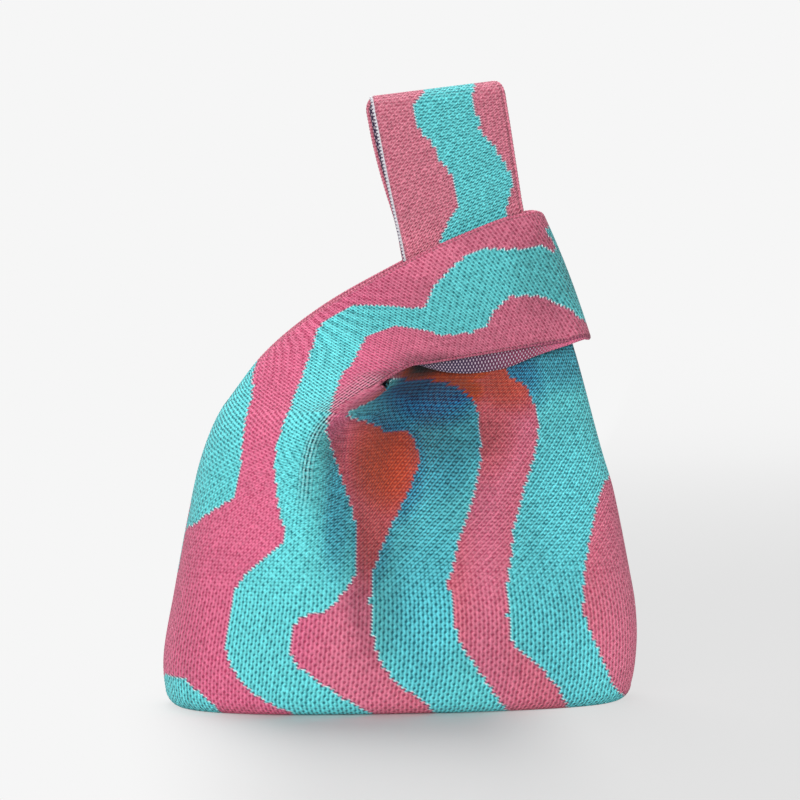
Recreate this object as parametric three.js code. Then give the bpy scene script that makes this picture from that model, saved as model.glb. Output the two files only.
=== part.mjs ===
import * as THREE from 'three';

// A knotted wrist bag in knitted cloth. Millimetres, +Z up, front toward -Y, standing on Z = 0.

// Cloth, seams and clearances
const knit = 2.4;
const gap = 0.3;
const seamRadius = 1.1;
const seamHalf = seamRadius + gap;

// Body: widest width and depth, and by height how far its outline and depth draw in from them
const bodyWidth = 235;
const bodyDepth = 92;
const shoulderHeight = 152;
const neckHeight = 186;
const rimHeight = 9;
const rimInset = 8;
const baseSeamShare = 0.86;
const sectionPower = 0.83;
const leftInset = profile([[0, 5.5], [9, 1], [28, 0], [58, 6], [98, 12.5], [128, 20], [shoulderHeight, 30],
  [neckHeight, 51.5]]);
const rightInset = profile([[0, 9.5], [9, 5.5], [28, 0.5], [48, 0], [66, 2], [108, 10.5], [128, 16],
  [shoulderHeight, 22], [neckHeight, 30.5]]);
const depthInset = profile([[0, 3], [20, 0], [60, 1.5], [100, 8], [130, 16.5], [shoulderHeight, 24], [170, 33],
  [neckHeight, 38.5]]);
const leftOutline = (height) => leftInset(height) - bodyWidth / 2;
const rightOutline = (height) => bodyWidth / 2 - rightInset(height);
const halfDepth = (height) => bodyDepth / 2 - depthInset(height);

// Fold below the mouth corner: a ridge and the hollow beside it
const ridgeLine = profile([[0, -60], [50, -52], [108, -44], [132, -40], [shoulderHeight, -36], [neckHeight, -30]]);
const ridgeRise = profile([[0, 0], [20, 1], [50, 3.5], [80, 7], [110, 11], [135, 14.5], [shoulderHeight, 17], [170, 8],
  [neckHeight, 0]]);
const ridgeSpread = [30, 11];
const hollowLine = profile([[0, -16], [37, -14], [87, -8], [130, -2], [shoulderHeight, 2], [neckHeight, 8]]);
const hollowSink = profile([[0, 0], [20, 0], [40, 1.5], [70, 6], [100, 11], [130, 12], [shoulderHeight, 8], [170, 3],
  [neckHeight, 0]]);
const hollowSpread = 16;
const backFold = 0.8;

// Mouth corner on the panel, as shares of the way round from the left seam to the right one
const cornerShare = 0.4;
const riseShare = 0.415;
const neckShare = 0.485;
const foldShare = 0.45;
const foldCrowding = 0.45;

// Short handle: the band across the knot, from the shoulder to its loop end, as [x, half depth, rise above the neck]
const bandHemPath = [[-12, 27, -20], [4, 19, -11], [15, 15.5, -9.5], [50, 13, -4.5], [83.5, 12.5, 0.5]];
const bandTopPath = [[-69, 3.5, -5], [-40, 6, 18], [2.7, 7, 40], [21, 7, 48.5], [52, 7, 60.5], [62, 7, 63]];
const bandColumns = 10;
const bandRows = 22;
const bandLegShare = 0.8;
const bandSettle = 0.6;

// Long handle inside the band, up to the line it folds on, as [x, rise above the neck]
const foldLeft = [1.7, 46.4];
const foldRight = [60.7, 70.4];
const foldTilt = 30;
const pressedGap = 0.7;
const pressedHalf = (knit + pressedGap) / 2;
const legHalf = 6;
const strapColumns = 8;
const legRows = 10;
const legLeftPath = [[0, gap], [2.5, 19], [3.4, 36], foldLeft];
const legRightPath = [[83.5, gap], [73, 20], [66, 42], foldRight];

// Carry loop above the knot
const loopHalf = 7;
const loopRows = 18;
const loopLegShare = 0.84;
const loopLeftPath = [foldLeft, [-6.5, 82], [-13.3, 115.5]];
const loopRightPath = [foldRight, [55.5, 97], [49, 123.5]];
const loopOpening = profile([[0, pressedHalf], [0.3, 3.8], [0.65, 6.2], [1, loopHalf]]);
const loopEdgeStart = 0.08;

// Colours of the two yarns and the edging
const pink = 0xcf5a80;
const turquoise = 0x58cfd4;
const edging = 0xe6d3dc;

// A smooth curve through [position, value] stations
function profile(stations) {
  const last = stations.length - 1;
  const slope = (i) => {
    const before = stations[Math.max(i - 1, 0)];
    const after = stations[Math.min(i + 1, last)];
    return (after[1] - before[1]) / (after[0] - before[0]);
  };
  return (at) => {
    const x = Math.min(Math.max(at, stations[0][0]), stations[last][0]);
    let i = 0;
    while (i < last - 1 && x > stations[i + 1][0]) i += 1;
    const [x0, y0] = stations[i];
    const [x1, y1] = stations[i + 1];
    const span = x1 - x0;
    const t = (x - x0) / span;
    const rise = t * t * (3 - 2 * t);
    const lead = t * (1 - t) * (1 - t) * slope(i);
    const trail = t * t * (t - 1) * slope(i + 1);
    return y0 + (y1 - y0) * rise + span * (lead + trail);
  };
}

const smooth = (from, to, x) => THREE.MathUtils.smoothstep(x, from, to);
const mix = THREE.MathUtils.lerp;
const aboveNeck = (x, y, rise) => new THREE.Vector3(x, y, neckHeight + rise);
const neckCurve = (points) => new THREE.CatmullRomCurve3(points.map(([x, rise]) => aboveNeck(x, 0, rise)));

// Cloth solid of even thickness about a surface over (u, v); trim may move the skins' end rows
function clothGeometry(columns, rows, surface, trim) {
  const skins = [[], []];
  const step = 1e-3;
  for (let j = 0; j <= rows; j += 1) {
    for (let i = 0; i <= columns; i += 1) {
      const u = i / columns;
      const v = j / rows;
      const across = surface(Math.min(u + step, 1), v).sub(surface(Math.max(u - step, 0), v));
      const along = surface(u, Math.min(v + step, 1)).sub(surface(u, Math.max(v - step, 0)));
      const normal = across.cross(along).normalize();
      skins.forEach((skin, k) => {
        const point = surface(u, v).addScaledVector(normal, (k === 0 ? 0.5 : -0.5) * knit);
        skin.push(trim ? trim(point, u, v) : point);
      });
    }
  }
  const wide = columns + 1;
  const count = skins[0].length;
  const index = [];
  const quad = (a, b, c, d) => index.push(a, b, c, a, c, d);
  for (let j = 0; j < rows; j += 1) {
    for (let i = 0; i < columns; i += 1) {
      const a = j * wide + i;
      quad(a, a + 1, a + wide + 1, a + wide);
      quad(count + a, count + a + wide, count + a + wide + 1, count + a + 1);
    }
  }
  const wall = (a, b) => quad(b, a, count + a, count + b);
  for (let i = 0; i < columns; i += 1) {
    wall(i, i + 1);
    wall(rows * wide + i + 1, rows * wide + i);
  }
  for (let j = 0; j < rows; j += 1) {
    wall((j + 1) * wide, j * wide);
    wall(j * wide + columns, (j + 1) * wide + columns);
  }
  return closedGeometry([...skins[0], ...skins[1]], index);
}

// Geometry with every face turned outward
function closedGeometry(points, index) {
  let volume = 0;
  for (let i = 0; i < index.length; i += 3) {
    const [a, b, c] = [points[index[i]], points[index[i + 1]], points[index[i + 2]]];
    volume += a.dot(b.clone().cross(c));
  }
  const faces = volume < 0 ? index.map((_, i) => index[i - (i % 3) + 2 - (i % 3)]) : index;
  const geometry = new THREE.BufferGeometry().setFromPoints(points);
  geometry.setIndex(faces);
  geometry.computeVertexNormals();
  return geometry;
}

// Round cord along points
function cordGeometry(points, steps, radius = seamRadius) {
  const path = new THREE.CatmullRomCurve3(points);
  const round = new THREE.Shape().absarc(0, 0, radius, 0, 2 * Math.PI);
  return new THREE.ExtrudeGeometry(round, { extrudePath: path, steps, curveSegments: 4 });
}

// Body section at a height: a point on the wall, by its share of the way from the left seam
function wallPoint(share, height, side) {
  const left = leftOutline(height) + knit / 2;
  const right = rightOutline(height) - knit / 2;
  const depth = halfDepth(height);
  const start = Math.asin((seamHalf / depth) ** (1 / sectionPower));
  const angle = start + (Math.PI - 2 * start) * share;
  const turn = Math.cos(angle);
  const middle = (left + right) / 2;
  const x = middle - ((right - left) / 2) * Math.sign(turn) * Math.abs(turn) ** sectionPower;
  const plain = depth * Math.sin(angle) ** sectionPower;
  const fold = foldDepth(x, height) * (side < 0 ? 1 : backFold) * smooth(seamHalf, 0.6 * depth, plain);
  return new THREE.Vector3(x, side * (plain + fold), height);
}

// Forward swell of the ridge under the mouth corner, less the hollow beside it
function foldDepth(x, height) {
  const fromRidge = x - ridgeLine(height);
  const spread = fromRidge < 0 ? ridgeSpread[0] : ridgeSpread[1];
  const ridge = ridgeRise(height) * Math.exp(-((fromRidge / spread) ** 2));
  const fromHollow = (x - hollowLine(height)) / hollowSpread;
  return ridge - hollowSink(height) * Math.exp(-(fromHollow ** 2));
}

// Columns crowd toward the fold
function columnShare(u) {
  const swing = (w) => Math.sin(2 * Math.PI * (w - foldShare)) / (2 * Math.PI);
  return u - foldCrowding * (swing(u) - swing(0));
}

// Panel: flat base from the base seam, rounded rim, wall to the shoulder or the neck
const panelColumns = 34;
const baseRows = 2;
const rimRows = 4;
const wallRows = 13;
const panelRows = baseRows + rimRows + wallRows;

function panelPoint(u, v, side) {
  const share = columnShare(u);
  const row = v * panelRows;
  const foot = wallPoint(share, rimHeight, side);
  if (row >= baseRows + rimRows) {
    const rise = smooth(riseShare, neckShare, share);
    const top = mix(shoulderHeight, neckHeight, rise) - gap / 2;
    return wallPoint(share, mix(rimHeight, top, (row - baseRows - rimRows) / wallRows), side);
  }
  const inward = 1 - rimInset / halfDepth(rimHeight);
  const middle = (leftOutline(rimHeight) + rightOutline(rimHeight)) / 2;
  const halfWidth = (rightOutline(rimHeight) - leftOutline(rimHeight)) / 2;
  const edgeX = middle + (foot.x - middle) * (1 - rimInset / halfWidth);
  const edgeY = side * (seamHalf + (Math.abs(foot.y) - seamHalf) * inward);
  if (row >= baseRows) {
    const turn = ((row - baseRows) / rimRows) * (Math.PI / 2);
    const out = Math.sin(turn);
    const up = knit / 2 + (rimHeight - knit / 2) * (1 - Math.cos(turn));
    return new THREE.Vector3(mix(edgeX, foot.x, out), mix(edgeY, foot.y, out), up);
  }
  const reach = row / baseRows;
  const seamX = middle + (edgeX - middle) * baseSeamShare;
  return new THREE.Vector3(mix(seamX, edgeX, reach), mix(side * seamHalf, edgeY, reach), knit / 2);
}

// The panel's ends stop square on the seams, and its top edge is level through the cloth
function panel(side) {
  const trim = (point, u, v) => {
    if (u === 0 || u === 1 || v === 0) point.y = side * seamHalf;
    if (v === 1) point.z = panelPoint(u, v, side).z;
    return point;
  };
  return clothGeometry(panelColumns, panelRows, (u, v) => panelPoint(u, v, side), trim);
}

// Seam cord along a panel's end column, on the plane between the panels
function sideSeam(u) {
  const points = [];
  for (let row = 0; row <= panelRows; row += 1) {
    const at = panelPoint(u, row / panelRows, -1);
    points.push(new THREE.Vector3(at.x, 0, at.z));
  }
  return cordGeometry(points, 32);
}

function baseSeam() {
  const ends = [0, 1].map((u) => panelPoint(u, 0, -1).x);
  const height = knit / 2;
  return cordGeometry([new THREE.Vector3(ends[0] + gap, 0, height), new THREE.Vector3(ends[1] - gap, 0, height)], 2);
}

// Short handle: ruled from hem to top edge, eased into the shoulder line, then a quarter turn at the end
function bandPoint(u, v, side) {
  const shoulder = (t) => wallPoint(cornerShare * (1 - t), shoulderHeight + gap / 2, side);
  const place = ([x, half, rise]) => aboveNeck(x, side * half, rise);
  const hem = new THREE.CatmullRomCurve3([shoulder(0), ...bandHemPath.map(place)]);
  const top = new THREE.CatmullRomCurve3([shoulder(1), ...bandTopPath.map(place)]);
  if (v <= bandLegShare) {
    const s = v / bandLegShare;
    const ruled = hem.getPoint(s).lerp(top.getPoint(s), u);
    const start = shoulder(0).lerp(shoulder(1), u);
    return ruled.addScaledVector(shoulder(u).sub(start), 1 - smooth(0, bandSettle, s));
  }
  const low = hem.getPoint(1);
  const high = top.getPoint(1);
  const ruled = low.clone().lerp(high, u);
  const radius = Math.abs(ruled.y);
  const axis = new THREE.Vector3(high.x - low.x, 0, high.z - low.z).normalize();
  const outward = new THREE.Vector3(axis.z, 0, -axis.x);
  const stop = Math.acos(seamHalf / radius);
  const turn = ((v - bandLegShare) / (1 - bandLegShare)) * stop;
  ruled.y = side * radius * Math.cos(turn);
  return ruled.addScaledVector(outward, radius * Math.sin(turn));
}

// The band's lower end is level through the cloth, on the shoulder, and its far end square on the end seam
function band(side) {
  const trim = (point, u, v) => {
    if (v === 0) point.z = shoulderHeight + gap / 2;
    if (v === 1) point.y = side * seamHalf;
    return point;
  };
  return clothGeometry(bandColumns, bandRows, (u, v) => bandPoint(u, v, side), trim);
}

// Seam across the meeting ends of two sides
function endSeam(point) {
  const points = [0, 0.25, 0.5, 0.75, 1].map((u) => {
    const at = point(u, 1, -1);
    at.y = 0;
    return at;
  });
  return cordGeometry(points, 8);
}

// Edging along one side of a handle: up the front, round the end and down the back
function edgeCord(point, u, from, steps) {
  const inset = u === 0 ? 0.05 : 0.95;
  const count = 26;
  const step = 0.01;
  const run = (side) => Array.from({ length: count + 1 }, (_, i) => {
    const v = mix(from, 1, i / count);
    const at = point(u, v, side);
    const along = point(u, Math.min(v + step, 1), side).sub(point(u, v - step, side)).normalize();
    const outward = at.clone().sub(point(inset, v, side));
    outward.addScaledVector(along, -outward.dot(along)).normalize();
    return at.addScaledVector(outward, gap + seamRadius);
  });
  return cordGeometry([...run(-1), ...run(1).reverse()], steps);
}

// Distance of a skin point from the fold line, so that the two sides clear each other when tipped
const foldAxis = neckCurve([foldLeft, foldRight]);
const foldAlong = new THREE.Vector3(foldRight[0] - foldLeft[0], 0, foldRight[1] - foldLeft[1]).normalize();
const foldUp = new THREE.Vector3(-foldAlong.z, 0, foldAlong.x);

function mitre(point, u, direction) {
  const clear = Math.abs(point.y) * Math.tan(THREE.MathUtils.degToRad(foldTilt)) + gap / 2;
  const at = foldAxis.getPoint(u).addScaledVector(foldUp, direction * clear);
  return new THREE.Vector3(at.x, point.y, at.z);
}

// Long handle leg, pressed flat toward the fold line
function legPoint(u, v, side) {
  const at = neckCurve(legLeftPath).getPoint(v).lerp(neckCurve(legRightPath).getPoint(v), u);
  at.y = side * mix(legHalf, pressedHalf, v);
  return at;
}

function leg(side) {
  const trim = (point, u, v) => (v === 1 ? mitre(point, u, -1) : point);
  return clothGeometry(strapColumns, legRows, (u, v) => legPoint(u, v, side), trim);
}

// Carry loop side, opening upward from the fold line, then a quarter turn at the top
function loopPoint(u, v, side) {
  const left = neckCurve(loopLeftPath);
  const right = neckCurve(loopRightPath);
  if (v <= loopLegShare) {
    const s = v / loopLegShare;
    const at = left.getPoint(s).lerp(right.getPoint(s), u);
    at.y = side * loopOpening(s);
    return at;
  }
  const axis = right.getPoint(1).sub(left.getPoint(1)).normalize();
  const up = new THREE.Vector3(-axis.z, 0, axis.x);
  const stop = Math.acos(seamHalf / loopHalf);
  const turn = ((v - loopLegShare) / (1 - loopLegShare)) * stop;
  const at = left.getPoint(1).lerp(right.getPoint(1), u);
  at.y = side * loopHalf * Math.cos(turn);
  return at.addScaledVector(up, loopHalf * Math.sin(turn));
}

function loopSide(side) {
  const trim = (point, u, v) => {
    if (v === 1) point.y = side * seamHalf;
    return v === 0 ? mitre(point, u, 1) : point;
  };
  return clothGeometry(strapColumns, loopRows, (u, v) => loopPoint(u, v, side), trim);
}

// Assembly
const bag = new THREE.Group();
bag.name = 'knot_bag';

function add(name, colour, geometry) {
  const material = new THREE.MeshStandardMaterial({ color: colour, roughness: 0.9, metalness: 0 });
  const mesh = new THREE.Mesh(geometry, material);
  mesh.name = name;
  bag.add(mesh);
}

add('front_panel', pink, panel(-1));
add('back_panel', turquoise, panel(1));
add('left_side_seam', edging, sideSeam(0));
add('right_side_seam', edging, sideSeam(1));
add('base_seam', edging, baseSeam());
add('short_handle_front', turquoise, band(-1));
add('short_handle_back', pink, band(1));
add('short_handle_end_seam', edging, endSeam(bandPoint));
add('short_handle_lower_hem', edging, edgeCord(bandPoint, 0, 0.06, 48));
add('short_handle_upper_hem', edging, edgeCord(bandPoint, 1, 0.06, 48));
add('long_handle_front', pink, leg(-1));
add('long_handle_back', turquoise, leg(1));
add('carry_loop_front', pink, loopSide(-1));
add('carry_loop_back', turquoise, loopSide(1));
add('carry_loop_top_seam', edging, endSeam(loopPoint));
add('carry_loop_left_selvedge', edging, edgeCord(loopPoint, 0, loopEdgeStart, 40));
add('carry_loop_right_selvedge', edging, edgeCord(loopPoint, 1, loopEdgeStart, 40));

export default bag;
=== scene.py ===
import math
from functools import partial

import bpy
import numpy as np
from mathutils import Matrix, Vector


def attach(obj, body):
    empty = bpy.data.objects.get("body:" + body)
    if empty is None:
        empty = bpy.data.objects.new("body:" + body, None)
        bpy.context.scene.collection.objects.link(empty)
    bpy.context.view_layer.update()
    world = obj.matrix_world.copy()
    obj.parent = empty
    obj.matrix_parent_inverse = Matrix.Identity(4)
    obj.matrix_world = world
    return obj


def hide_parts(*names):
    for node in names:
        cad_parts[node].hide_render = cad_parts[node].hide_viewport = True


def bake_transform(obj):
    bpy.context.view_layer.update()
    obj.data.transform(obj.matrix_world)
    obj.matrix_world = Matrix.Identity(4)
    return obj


# A knotted knit bag, dressed over its solids
# Shapes are worked in millimetres, with the front toward -Y, and made in metres
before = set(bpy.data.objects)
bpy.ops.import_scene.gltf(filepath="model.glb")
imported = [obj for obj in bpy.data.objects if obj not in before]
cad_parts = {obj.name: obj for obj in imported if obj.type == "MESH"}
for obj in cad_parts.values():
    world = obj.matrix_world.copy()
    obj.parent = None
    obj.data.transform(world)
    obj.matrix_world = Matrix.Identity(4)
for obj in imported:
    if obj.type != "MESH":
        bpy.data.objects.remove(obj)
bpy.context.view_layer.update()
rng = np.random.default_rng(seed=7)

METRE = 0.001
COURSE = 1.75
CLOTH = 2.0
SEAM_RADIUS = 1.1
SEAM_HALF = 1.4

# View that the photo was taken from
VIEW_TURN = math.radians(6)
VIEW_RISE = math.radians(5)
VIEW_DISTANCE = 1800
VIEW_HEIGHT = 155
PICTURE_WIDTH = 408


def smooth(start, end, x):
    t = np.clip((x - start) / (end - start), 0, 1)
    return t * t * (3 - 2 * t)


def mix(a, b, t):
    return a + (b - a) * t


def together(*axes):
    """Points from their coordinates, each an array or one value for all."""
    return np.stack(np.broadcast_arrays(*axes), axis=-1)


def profile(*stations):
    """A smooth curve through (position, value) stations."""
    at, value = np.array(stations, float).T
    slope = np.empty(len(at))
    slope[1:-1] = (value[2:] - value[:-2]) / (at[2:] - at[:-2])
    slope[0] = (value[1] - value[0]) / (at[1] - at[0])
    slope[-1] = (value[-1] - value[-2]) / (at[-1] - at[-2])

    def curve(x):
        x = np.clip(x, at[0], at[-1])
        i = np.clip(np.searchsorted(at, x, side="right") - 1, 0, len(at) - 2)
        span = at[i + 1] - at[i]
        t = (x - at[i]) / span
        rise = smooth(0, 1, t)
        lead = t * (1 - t) ** 2 * slope[i]
        trail = t * t * (t - 1) * slope[i + 1]
        return value[i] + (value[i + 1] - value[i]) * rise + span * (lead + trail)

    return curve


def paces(line):
    """Length of a polyline up to each of its points."""
    return np.concatenate([[0], np.cumsum(np.linalg.norm(np.diff(line, axis=0), axis=1))])


def path(points):
    """A smooth line through points, by its share of the way, at an even pace."""
    points = np.array(points, float)
    knots = paces(points)
    axes = [profile(*zip(knots, column)) for column in points.T]

    def line(share):
        share = np.atleast_1d(share) * knots[-1]
        return together(*(axis(share) for axis in axes))

    return line


def resample(line, count):
    """Points at an even pace along a polyline."""
    pace = paces(line)
    at = np.linspace(0, pace[-1], count + 1)
    return together(*(np.interp(at, pace, column) for column in line.T))


def unit(vectors):
    return vectors / np.maximum(np.linalg.norm(vectors, axis=-1, keepdims=True), 1e-9)


# Body shape by height
SHOULDER = 152
TIP = 166.6
NECK = 186
RIM = 9
RIM_INSET = 8
BASE_SEAM_SHARE = 0.86
left_outline = profile((0, -116), (8, -120), (26, -121), (58, -115.5), (98, -108), (128, -101),
                       (SHOULDER, -90.5), (NECK, -66))
right_outline = profile((0, 113.5), (8, 119), (28, 122), (48, 121.5), (66, 118.5), (108, 110), (128, 104),
                        (SHOULDER, 97.5), (NECK, 88.5))
half_depth = profile((0, 43), (20, 46), (60, 44.5), (100, 38), (130, 29.5), (SHOULDER, 22), (170, 13),
                     (NECK, 7.5))
section_power = profile((0, 0.74), (50, 0.8), (90, 0.83), (NECK, 0.83))
ridge_line = profile((0, -66), (50, -60), (110, -53), (132, -50), (145, -44.5), (157, -32), (162, -23),
                     (TIP, -14), (NECK, 0))
ridge_rise = profile((0, 0), (20, 1), (50, 3.5), (80, 7), (110, 11), (135, 14.5), (SHOULDER, 17), (TIP, 15),
                     (178, 4), (NECK, 0))
hollow_line = profile((0, -16), (37, -14), (87, -8), (130, -2), (SHOULDER, 4), (170, 14), (NECK, 18))
hollow_sink = profile((0, 0), (20, 0), (40, 1.5), (70, 7), (100, 13), (130, 18), (SHOULDER, 16), (170, 6),
                      (NECK, 0))
RIDGE_LEFT = 30
RIDGE_RIGHT = 13
HOLLOW_SPREAD = 17
BACK_FOLD = 0.8
FOLD_FULL_SHARE = 0.6
SECTION_POINTS = 900


def fold_depth(x, height):
    """Swell of the ridge below the mouth corner, less the hollow beside it."""
    from_ridge = x - ridge_line(height)
    spread = np.where(from_ridge < 0, RIDGE_LEFT, RIDGE_RIGHT)
    ridge = ridge_rise(height) * np.exp(-((from_ridge / spread) ** 2))
    hollow = hollow_sink(height) * np.exp(-(((x - hollow_line(height)) / HOLLOW_SPREAD) ** 2))
    return ridge - hollow


def section(height, side):
    """Wall of one face at a height, from the left seam to the right one."""
    share = np.linspace(0, 1, SECTION_POINTS)
    left = left_outline(height) + CLOTH / 2
    right = right_outline(height) - CLOTH / 2
    depth = half_depth(height)
    power = section_power(height)
    start = math.asin((SEAM_HALF / depth) ** (1 / power))
    angle = start + (math.pi - 2 * start) * share
    turn = np.cos(angle)
    x = (left + right) / 2 - (right - left) / 2 * np.sign(turn) * np.abs(turn) ** power
    plain = depth * np.sin(angle) ** power
    weight = 1 if side < 0 else BACK_FOLD
    fold = weight * fold_depth(x, height) * smooth(SEAM_HALF, FOLD_FULL_SHARE * depth, plain)
    return together(x, side * (plain + fold), height)


def split_section(height, side):
    """The section left of the ridge's crest, and the section right of it."""
    line = section(height, side)
    crest = int(np.argmin(np.abs(line[:, 0] - ridge_line(height))))
    return line[: crest + 1], line[crest:]


# Stitches across a face, left and right of the ridge, and along its base and rim
LEFT_WALES = 40
RIGHT_WALES = 92
BASE_COURSES = 20
RIM_COURSES = 8


def wall_row(height, side):
    left, right = split_section(height, side)
    return np.concatenate([resample(left, LEFT_WALES), resample(right, RIGHT_WALES)[1:]])


def base_rows(side):
    """Base and rounded rim below the wall, row by row from the base seam."""
    foot = wall_row(RIM, side)
    middle = (left_outline(RIM) + right_outline(RIM)) / 2
    half_width = (right_outline(RIM) - left_outline(RIM)) / 2
    floor = CLOTH / 2
    edge_x = middle + (foot[:, 0] - middle) * (1 - RIM_INSET / half_width)
    edge_y = side * (SEAM_HALF + (np.abs(foot[:, 1]) - SEAM_HALF) * (1 - RIM_INSET / half_depth(RIM)))
    seam_x = middle + (edge_x - middle) * BASE_SEAM_SHARE
    rows = []
    for reach in np.linspace(0, 1, BASE_COURSES, endpoint=False):
        rows.append(together(mix(seam_x, edge_x, reach), mix(side * SEAM_HALF, edge_y, reach), floor))
    for turn in np.linspace(0, math.pi / 2, RIM_COURSES, endpoint=False):
        rise = floor + (RIM - floor) * (1 - math.cos(turn))
        out = math.sin(turn)
        rows.append(together(mix(edge_x, foot[:, 0], out), mix(edge_y, foot[:, 1], out), rise))
    return rows


def face_grid(side):
    """Rows of one face from the base seam to the shoulder."""
    count = round((SHOULDER - RIM) / COURSE)
    heights = np.linspace(RIM, SHOULDER, count + 1)
    return np.array(base_rows(side) + [wall_row(h, side) for h in heights])


def neck_grid(side):
    """Rows of the right part of a face from the shoulder to the neck, inside the band."""
    count = round((NECK - SHOULDER) / COURSE)
    heights = np.linspace(SHOULDER, NECK, count + 1)
    return np.array([resample(split_section(h, side)[1], RIGHT_WALES) for h in heights])


# Band over the knot: hem and top edge as (x, half depth, height)
HEM = [(-14, 29, TIP), (2, 20, 174.5), (14, 16, 176), (50, 13, 181.5), (84, 12.5, 186.5)]
BAND_TOP = [(-67.5, 3.5, 179.5), (-38, 6, 202.5), (2.7, 7, 225), (21, 7, 234), (52, 7, 246.5), (63, 7, 249)]
BAND_SETTLE = 0.6
BAND_BULGE = 2.5
BULGE_RISE, BULGE_FALL = (0.15, 0.5), (1.1, 0.75)
BAND_COURSES = 90
TURN_COURSES = 9
END_DROOP = 3.8
END_BULGE = 1.35


def band_lines(side, shoulder):
    place = [[(x, side * half, z) for x, half, z in edge] for edge in (HEM, BAND_TOP)]
    return path([shoulder[-1]] + place[0]), path([shoulder[0]] + place[1])


def band_grid(side, shoulder):
    """Rows of the band from the shoulder to its end seam, columns from the top edge to the hem."""
    hem, top = band_lines(side, shoulder)
    across = np.linspace(0, 1, LEFT_WALES + 1)[:, None]
    ease = shoulder - mix(top(0), hem(0), across)
    rows = []
    for share in np.linspace(0, 1, BAND_COURSES + 1):
        row = mix(top(share), hem(share), across) + ease * (1 - smooth(0, BAND_SETTLE, share))
        swell = BAND_BULGE * np.sin(math.pi * across[:, 0])
        row[:, 1] += side * swell * smooth(*BULGE_RISE, share) * smooth(*BULGE_FALL, share)
        rows.append(row)
    end = rows[-1]
    radius = np.abs(end[:, 1])
    axis = end[0] - end[-1]
    axis[1] = 0
    axis /= np.linalg.norm(axis)
    outward = np.array([axis[2], 0, -axis[0]])
    for step in range(1, TURN_COURSES + 1):
        turn = step / TURN_COURSES * np.arccos(SEAM_HALF / radius)
        drawn = END_DROOP * (step / TURN_COURSES) ** 2
        out = radius * np.sin(turn) * mix(END_BULGE, 1, across[:, 0])
        row = end + outward * out[:, None] - axis * drawn
        row[:, 1] = side * radius * np.cos(turn)
        rows.append(row)
    return np.array(rows)


# Long handle inside the band and the carry loop above it, as (x, height)
FOLD_LEFT = (1.7, 232.4)
FOLD_RIGHT = (60.7, 256.4)
LEG_LEFT = [(0, 186.5), (2.5, 205), (3.4, 222), FOLD_LEFT]
LEG_RIGHT = [(83.5, 186.5), (73, 206), (66, 228), FOLD_RIGHT]
LOOP_LEFT = [FOLD_LEFT, (-6.5, 268), (-13.3, 301.5)]
LOOP_RIGHT = [FOLD_RIGHT, (56, 283), (51.5, 309.5)]
PRESSED = 1.6
LEG_HALF = 6
LOOP_HALF = 7
STRAP_WALES = 34
LEG_COURSES = 40
TUCK_START = 0.35
TUCK_COURSES = 24
LOOP_COURSES = 42
TOP_COURSES = 6
SKEW_FULL = 0.1
TOP_ROUNDING = 2.5
BACK_ROUNDING = 4
loop_skew = profile((0, -0.5), (0.22, -0.5), (0.42, 0.5), (0.6, 1.3), (0.8, 1.8), (1, 1.7))
loop_opening = profile((0, PRESSED), (0.3, 4), (0.65, 6.4), (1, LOOP_HALF))


def ruled_rows(left, right, shares, half_depths, side):
    rows = []
    across = np.linspace(0, 1, STRAP_WALES + 1)[:, None]
    for share, half in zip(shares, half_depths):
        flat = mix(left(share), right(share), across)
        rows.append(together(flat[:, 0], side * half, flat[:, 1]))
    return rows


def leg_rows(side, start, courses):
    """Rows of a long handle leg, from a share of its way up to the fold line."""
    shares = np.linspace(start, 1, courses + 1)
    halves = [mix(LEG_HALF, PRESSED, s) for s in shares]
    return ruled_rows(path(LEG_LEFT), path(LEG_RIGHT), shares, halves, side)


def loop_rows(side):
    """Rows of a carry loop side from the fold line to the top seam; the back shows a little at the left."""
    shares = np.linspace(0, 1, LOOP_COURSES + 1)
    rows = ruled_rows(path(LOOP_LEFT), path(LOOP_RIGHT), shares, loop_opening(shares), side)
    if side > 0:
        for row, share in zip(rows, shares):
            row[:, 0] -= loop_skew(share) * smooth(0, SKEW_FULL, share)
    end = rows[-1]
    axis = end[-1] - end[0]
    axis /= np.linalg.norm(axis)
    up = np.array([-axis[2], 0, axis[0]])
    stop = math.acos(SEAM_HALF / LOOP_HALF)
    left_inset = BACK_ROUNDING if side > 0 else 0
    inward = np.linspace(left_inset, -TOP_ROUNDING, STRAP_WALES + 1)[:, None] * axis
    for turn in np.linspace(0, stop, TOP_COURSES + 1)[1:]:
        row = end + up * LOOP_HALF * math.sin(turn) + inward * (turn / stop) ** 2
        row[:, 1] = side * LOOP_HALF * math.cos(turn)
        rows.append(row)
    return rows


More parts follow.
